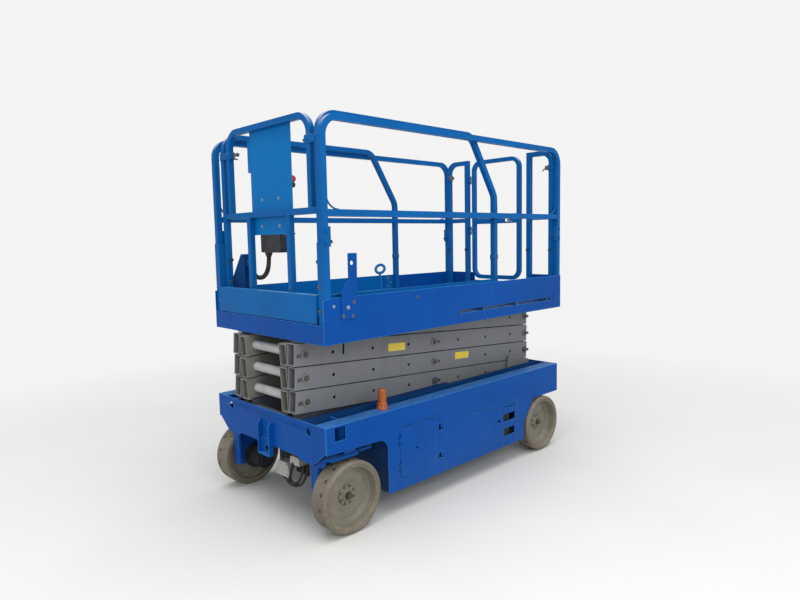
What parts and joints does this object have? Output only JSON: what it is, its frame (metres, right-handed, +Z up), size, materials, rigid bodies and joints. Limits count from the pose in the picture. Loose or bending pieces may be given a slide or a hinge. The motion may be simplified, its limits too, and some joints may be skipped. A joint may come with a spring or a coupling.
{
  "type": "electric scissor lift",
  "caption": "Self-propelled slab scissor lift: box chassis on solid wheels with steered front axle, stacked scissor arms and a railed platform with sliding deck extension, gate and controls.",
  "frame": {"origin": "on the floor under the middle of the overall length and width, platform lowered, rails up", "axes": "+X towards the steered end with the controls, +Y to the machine's left, +Z up"},
  "size_m": [2.324, 1.166, 2.28],
  "materials": {
    "painted_blue": "bright mid-blue enamel, scuffed on edges and rail tops",
    "painted_grey": "cool grey enamel, satin",
    "pale_grey": "pale grey enamel on round cross tubes",
    "wheel_beige": "warm grey enamel, dusty",
    "tyre_beige": "non-marking warm grey rubber, dusty",
    "dark_paint": "dark enamel with dust",
    "blue_pan": "deep blue enamel, shaded and dusty",
    "black_plastic": "matt black plastic",
    "amber_plastic": "translucent orange plastic",
    "red_plastic": "glossy red plastic",
    "steel": "zinc-plated steel",
    "chrome_rod": "polished piston rod",
    "battery_plastic": "dark grey plastic"
  },
  "bodies": {
    "chassis": {"chassis_side_left": "painted_blue", "chassis_side_right": "painted_blue", "chassis_front_plate": "painted_blue", "tie_down_bracket": "painted_blue", "chassis_rear_plate": "painted_blue", "entry_ladder": "painted_blue", "chassis_beams": "blue_pan", "chassis_pan": "blue_pan", "rear_axle": "blue_pan", "rear_pivot_brackets": "painted_grey", "kingpin_housings": "painted_blue", "beacon": "amber_plastic", "hinge_posts": "blue_pan"},
    "hatch": {"access_hatch": "painted_blue"},
    "left_tray": {"control_tray": "painted_blue", "power_modules": "dark_paint"},
    "right_tray": {"battery_tray": "painted_blue", "batteries": "battery_plastic"},
    "left_yoke": {"steer_yoke_left": "painted_blue", "drive_motor_left": "dark_paint"},
    "right_yoke": {"steer_yoke_right": "painted_blue", "drive_motor_right": "dark_paint"},
    "front_left_wheel": {"tyre_front_left": "tyre_beige", "rim_front_left": "wheel_beige"},
    "front_right_wheel": {"tyre_front_right": "tyre_beige", "rim_front_right": "wheel_beige"},
    "rear_left_wheel": {"tyre_rear_left": "tyre_beige", "rim_rear_left": "wheel_beige"},
    "rear_right_wheel": {"tyre_rear_right": "tyre_beige", "rim_rear_right": "wheel_beige"},
    "steering_link": {"tie_rod": "dark_paint"},
    "outer_1": {"outer_arms_1": "painted_grey"},
    "inner_1": {"inner_arms_1": "pale_grey", "lower_rollers": "steel"},
    "outer_2": {"outer_arms_2": "painted_grey"},
    "inner_2": {"inner_arms_2": "pale_grey"},
    "outer_3": {"outer_arms_3": "painted_grey"},
    "inner_3": {"inner_arms_3": "pale_grey"},
    "outer_4": {"outer_arms_4": "painted_grey", "upper_rollers": "steel"},
    "inner_4": {"inner_arms_4": "pale_grey"},
    "lift_barrel": {"lift_cylinder_barrel": "dark_paint"},
    "lift_rod": {"lift_cylinder_rod": "chrome_rod"},
    "platform": {"platform_deck": "painted_blue", "platform_skirts": "painted_blue", "strip_bracket": "painted_blue", "side_rails": "painted_blue", "corner_stanchions": "painted_blue", "rear_hoops": "painted_blue"},
    "gate": {"entry_gate": "painted_blue"},
    "extension": {"extension_deck": "painted_blue", "extension_rails": "painted_blue", "front_rail": "painted_blue", "front_panels": "painted_blue", "control_box": "painted_blue", "stop_button": "red_plastic", "junction_box": "black_plastic", "conduit": "black_plastic", "cable_bracket": "painted_blue"}
  },
  "joints": [
    {"name": "lift", "type": "hinge", "parent": "chassis", "child": "outer_1", "pos_m": [-1.019, 0, 0.584], "axis": [0, -1, 0], "range_deg": [0, 56.88]},
    {"name": "cross_1", "type": "hinge", "parent": "outer_1", "child": "inner_1", "pos_m": [0.02575, 0, 0.65], "axis": [0, -1, 0], "range_deg": [-113.82, 0]},
    {"name": "rear_pin_1", "type": "hinge", "parent": "inner_1", "child": "outer_2", "pos_m": [-1.019, 0, 0.716], "axis": [0, -1, 0], "range_deg": [0, 113.82]},
    {"name": "cross_2", "type": "hinge", "parent": "outer_2", "child": "inner_2", "pos_m": [0.02575, 0, 0.782], "axis": [0, -1, 0], "range_deg": [-113.82, 0]},
    {"name": "rear_pin_2", "type": "hinge", "parent": "inner_2", "child": "outer_3", "pos_m": [-1.019, 0, 0.848], "axis": [0, -1, 0], "range_deg": [0, 113.82]},
    {"name": "cross_3", "type": "hinge", "parent": "outer_3", "child": "inner_3", "pos_m": [0.02575, 0, 0.914], "axis": [0, -1, 0], "range_deg": [-113.82, 0]},
    {"name": "rear_pin_3", "type": "hinge", "parent": "inner_3", "child": "outer_4", "pos_m": [-1.019, 0, 0.98], "axis": [0, -1, 0], "range_deg": [0, 113.82]},
    {"name": "cross_4", "type": "hinge", "parent": "outer_4", "child": "inner_4", "pos_m": [0.02575, 0, 1.046], "axis": [0, -1, 0], "range_deg": [-113.82, 0]},
    {"name": "platform_pin", "type": "hinge", "parent": "inner_4", "child": "platform", "pos_m": [-1.019, 0, 1.112], "axis": [0, -1, 0], "range_deg": [0, 56.94]},
    {"name": "lift_barrel_pin", "type": "hinge", "parent": "inner_1", "child": "lift_barrel", "pos_m": [-0.91452, 0, 0.7094], "axis": [0, -1, 0], "range_deg": [0, 120.91]},
    {"name": "lift_rod_slide", "type": "slide", "parent": "lift_barrel", "child": "lift_rod", "axis": [0.9955, 0, 0.0943], "range_m": [0, 0.6585]},
    {"name": "steer_left", "type": "hinge", "parent": "chassis", "child": "left_yoke", "pos_m": [0.961, 0.505, 0.44], "axis": [0, 0, 1], "range_deg": [-60, 60]},
    {"name": "steer_right", "type": "hinge", "parent": "chassis", "child": "right_yoke", "pos_m": [0.961, -0.505, 0.44], "axis": [0, 0, 1], "range_deg": [-60.05, 60.05]},
    {"name": "tie_rod_pin", "type": "hinge", "parent": "left_yoke", "child": "steering_link", "pos_m": [0.791, 0.505, 0.452], "axis": [0, 0, 1], "range_deg": [-60.05, 60.05]},
    {"name": "front_left_wheel_spin", "type": "hinge", "parent": "left_yoke", "child": "front_left_wheel", "pos_m": [0.961, 0.5195, 0.203], "axis": [0, 1, 0], "continuous": true},
    {"name": "front_right_wheel_spin", "type": "hinge", "parent": "right_yoke", "child": "front_right_wheel", "pos_m": [0.961, -0.5195, 0.203], "axis": [0, 1, 0], "continuous": true},
    {"name": "rear_left_wheel_spin", "type": "hinge", "parent": "chassis", "child": "rear_left_wheel", "pos_m": [-0.889, 0.5195, 0.203], "axis": [0, 1, 0], "continuous": true},
    {"name": "rear_right_wheel_spin", "type": "hinge", "parent": "chassis", "child": "rear_right_wheel", "pos_m": [-0.889, -0.5195, 0.203], "axis": [0, 1, 0], "continuous": true},
    {"name": "extension_slide", "type": "slide", "parent": "platform", "child": "extension", "axis": [1, 0, 0], "range_m": [0, 0.91]},
    {"name": "gate_hinge", "type": "hinge", "parent": "platform", "child": "gate", "pos_m": [-1.107, -0.28, 1.7], "axis": [0, 0, 1], "range_deg": [-90, 0]},
    {"name": "hatch_hinge", "type": "hinge", "parent": "chassis", "child": "hatch", "pos_m": [0.5942, 0.57, 0.35], "axis": [0, 0, 1], "range_deg": [-100, 0]},
    {"name": "left_tray_hinge", "type": "hinge", "parent": "chassis", "child": "left_tray", "pos_m": [0.222, 0.558, 0.34], "axis": [0, 0, 1], "range_deg": [-90, 0]},
    {"name": "right_tray_hinge", "type": "hinge", "parent": "chassis", "child": "right_tray", "pos_m": [0.222, -0.558, 0.34], "axis": [0, 0, 1], "range_deg": [0, 90]}
  ],
  "couplings": [
    {"joint": "cross_1", "follows": "lift", "ratio": -2},
    {"joint": "rear_pin_1", "follows": "lift", "ratio": 2},
    {"joint": "cross_2", "follows": "lift", "ratio": -2},
    {"joint": "rear_pin_2", "follows": "lift", "ratio": 2},
    {"joint": "cross_3", "follows": "lift", "ratio": -2},
    {"joint": "rear_pin_3", "follows": "lift", "ratio": 2},
    {"joint": "cross_4", "follows": "lift", "ratio": -2},
    {"joint": "platform_pin", "follows": "lift", "ratio": 1},
    {"joint": "lift_barrel_pin", "follows": "lift", "ratio": 2.1237},
    {"joint": "lift_rod_slide", "follows": "lift", "m_per_rad": 0.66272},
    {"joint": "steer_right", "follows": "steer_left", "ratio": 1},
    {"joint": "tie_rod_pin", "follows": "steer_left", "ratio": -1}
  ]
}
